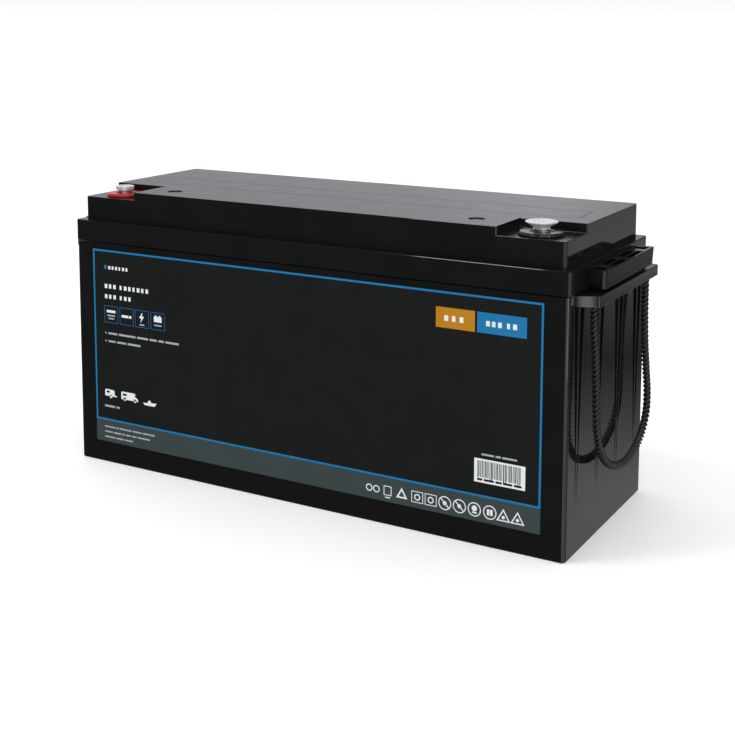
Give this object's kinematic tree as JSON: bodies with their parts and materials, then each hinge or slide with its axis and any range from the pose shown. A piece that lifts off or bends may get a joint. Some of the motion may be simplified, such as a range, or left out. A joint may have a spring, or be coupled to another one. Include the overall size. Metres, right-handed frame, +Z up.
{
  "type": "deep cycle battery",
  "caption": "Sealed absorbed-glass-mat lead battery block with stepped cover, corner bolt terminals, grooved end walls and rope handles.",
  "frame": {"origin": "middle of the flat base", "axes": "+X along the block to the negative terminal, -Y out of the labelled long side, +Z up"},
  "size_m": [0.485, 0.172, 0.2432],
  "materials": {
    "case_black": "black moulded ABS, near-mirror gloss with faint flow ripples",
    "valve_rubber": "black matt rubber",
    "positive_paste": "dark brown lead dioxide paste on a lead grid",
    "negative_paste": "grey spongy lead paste on a lead grid",
    "glass_mat": "white felted glass fibre",
    "cast_lead": "dull grey cast lead",
    "tinned_brass": "tin-plated brass, satin",
    "red_seal": "glossy red epoxy",
    "black_seal": "glossy black epoxy",
    "bright_steel": "bright plated steel with fine turning marks",
    "label_film": "printed film: black field, blue frame, orange and blue blocks, grey foot band",
    "black_rope": "black twisted polypropylene cord"
  },
  "bodies": {
    "root": {"container": "case_black", "cover": "case_black", "vent_cover_plate": "case_black", "valve_cap_1": "valve_rubber", "valve_cap_2": "valve_rubber", "valve_cap_3": "valve_rubber", "valve_cap_4": "valve_rubber", "valve_cap_5": "valve_rubber", "valve_cap_6": "valve_rubber", "positive_plate_group_1": "positive_paste", "positive_plate_group_2": "positive_paste", "positive_plate_group_3": "positive_paste", "positive_plate_group_4": "positive_paste", "positive_plate_group_5": "positive_paste", "positive_plate_group_6": "positive_paste", "negative_plate_group_1": "negative_paste", "negative_plate_group_2": "negative_paste", "negative_plate_group_3": "negative_paste", "negative_plate_group_4": "negative_paste", "negative_plate_group_5": "negative_paste", "negative_plate_group_6": "negative_paste", "glass_mat_1": "glass_mat", "glass_mat_2": "glass_mat", "glass_mat_3": "glass_mat", "glass_mat_4": "glass_mat", "glass_mat_5": "glass_mat", "glass_mat_6": "glass_mat", "intercell_weld_1": "cast_lead", "intercell_weld_2": "cast_lead", "intercell_weld_3": "cast_lead", "intercell_weld_4": "cast_lead", "intercell_weld_5": "cast_lead", "positive_terminal_post": "cast_lead", "positive_threaded_insert": "tinned_brass", "positive_seal_ring": "red_seal", "positive_post_o_ring": "valve_rubber", "negative_terminal_post": "cast_lead", "negative_threaded_insert": "tinned_brass", "negative_seal_ring": "black_seal", "negative_post_o_ring": "valve_rubber", "front_label": "label_film", "left_rope_front_knot": "black_rope", "left_rope_rear_knot": "black_rope", "right_rope_front_knot": "black_rope", "right_rope_rear_knot": "black_rope"},
    "left_rope_links": {"left_rope_front_link": "black_rope", "left_rope_rear_link": "black_rope"},
    "left_rope_bight": {"left_rope_loop": "black_rope"},
    "right_rope_links": {"right_rope_front_link": "black_rope", "right_rope_rear_link": "black_rope"},
    "right_rope_bight": {"right_rope_loop": "black_rope"},
    "positive_lock_washer": {"positive_spring_washer": "bright_steel"},
    "positive_bolt": {"positive_terminal_bolt": "bright_steel"},
    "negative_lock_washer": {"negative_spring_washer": "bright_steel"},
    "negative_bolt": {"negative_terminal_bolt": "bright_steel"}
  },
  "joints": [
    {"name": "left_rope_swing", "type": "hinge", "parent": "root", "child": "left_rope_links", "pos_m": [-0.238, 0, 0.18585], "axis": [0, 1, 0], "range_deg": [0, 90]},
    {"name": "left_rope_fold", "type": "hinge", "parent": "left_rope_links", "child": "left_rope_bight", "pos_m": [-0.238, 0, 0.17085], "axis": [0, 1, 0], "range_deg": [0, 80]},
    {"name": "right_rope_swing", "type": "hinge", "parent": "root", "child": "right_rope_links", "pos_m": [0.238, 0, 0.18585], "axis": [0, -1, 0], "range_deg": [0, 90]},
    {"name": "right_rope_fold", "type": "hinge", "parent": "right_rope_links", "child": "right_rope_bight", "pos_m": [0.238, 0, 0.17085], "axis": [0, -1, 0], "range_deg": [0, 80]},
    {"name": "positive_bolt_lift", "type": "slide", "parent": "root", "child": "positive_lock_washer", "axis": [0, 0, 1], "range_m": [0, 0.0125]},
    {"name": "positive_bolt_turn", "type": "hinge", "parent": "positive_lock_washer", "child": "positive_bolt", "pos_m": [-0.1938, -0.0585, 0.242], "axis": [0, 0, 1], "range_deg": [0, 3600]},
    {"name": "negative_bolt_lift", "type": "slide", "parent": "root", "child": "negative_lock_washer", "axis": [0, 0, 1], "range_m": [0, 0.0125]},
    {"name": "negative_bolt_turn", "type": "hinge", "parent": "negative_lock_washer", "child": "negative_bolt", "pos_m": [0.1938, -0.0585, 0.242], "axis": [0, 0, 1], "range_deg": [0, 3600]}
  ],
  "couplings": [
    {"joint": "left_rope_fold", "follows": "left_rope_swing", "ratio": 0.88889},
    {"joint": "right_rope_fold", "follows": "right_rope_swing", "ratio": 0.88889},
    {"joint": "positive_bolt_turn", "follows": "positive_bolt_lift", "rad_per_m": 5026.5},
    {"joint": "negative_bolt_turn", "follows": "negative_bolt_lift", "rad_per_m": 5026.5}
  ]
}
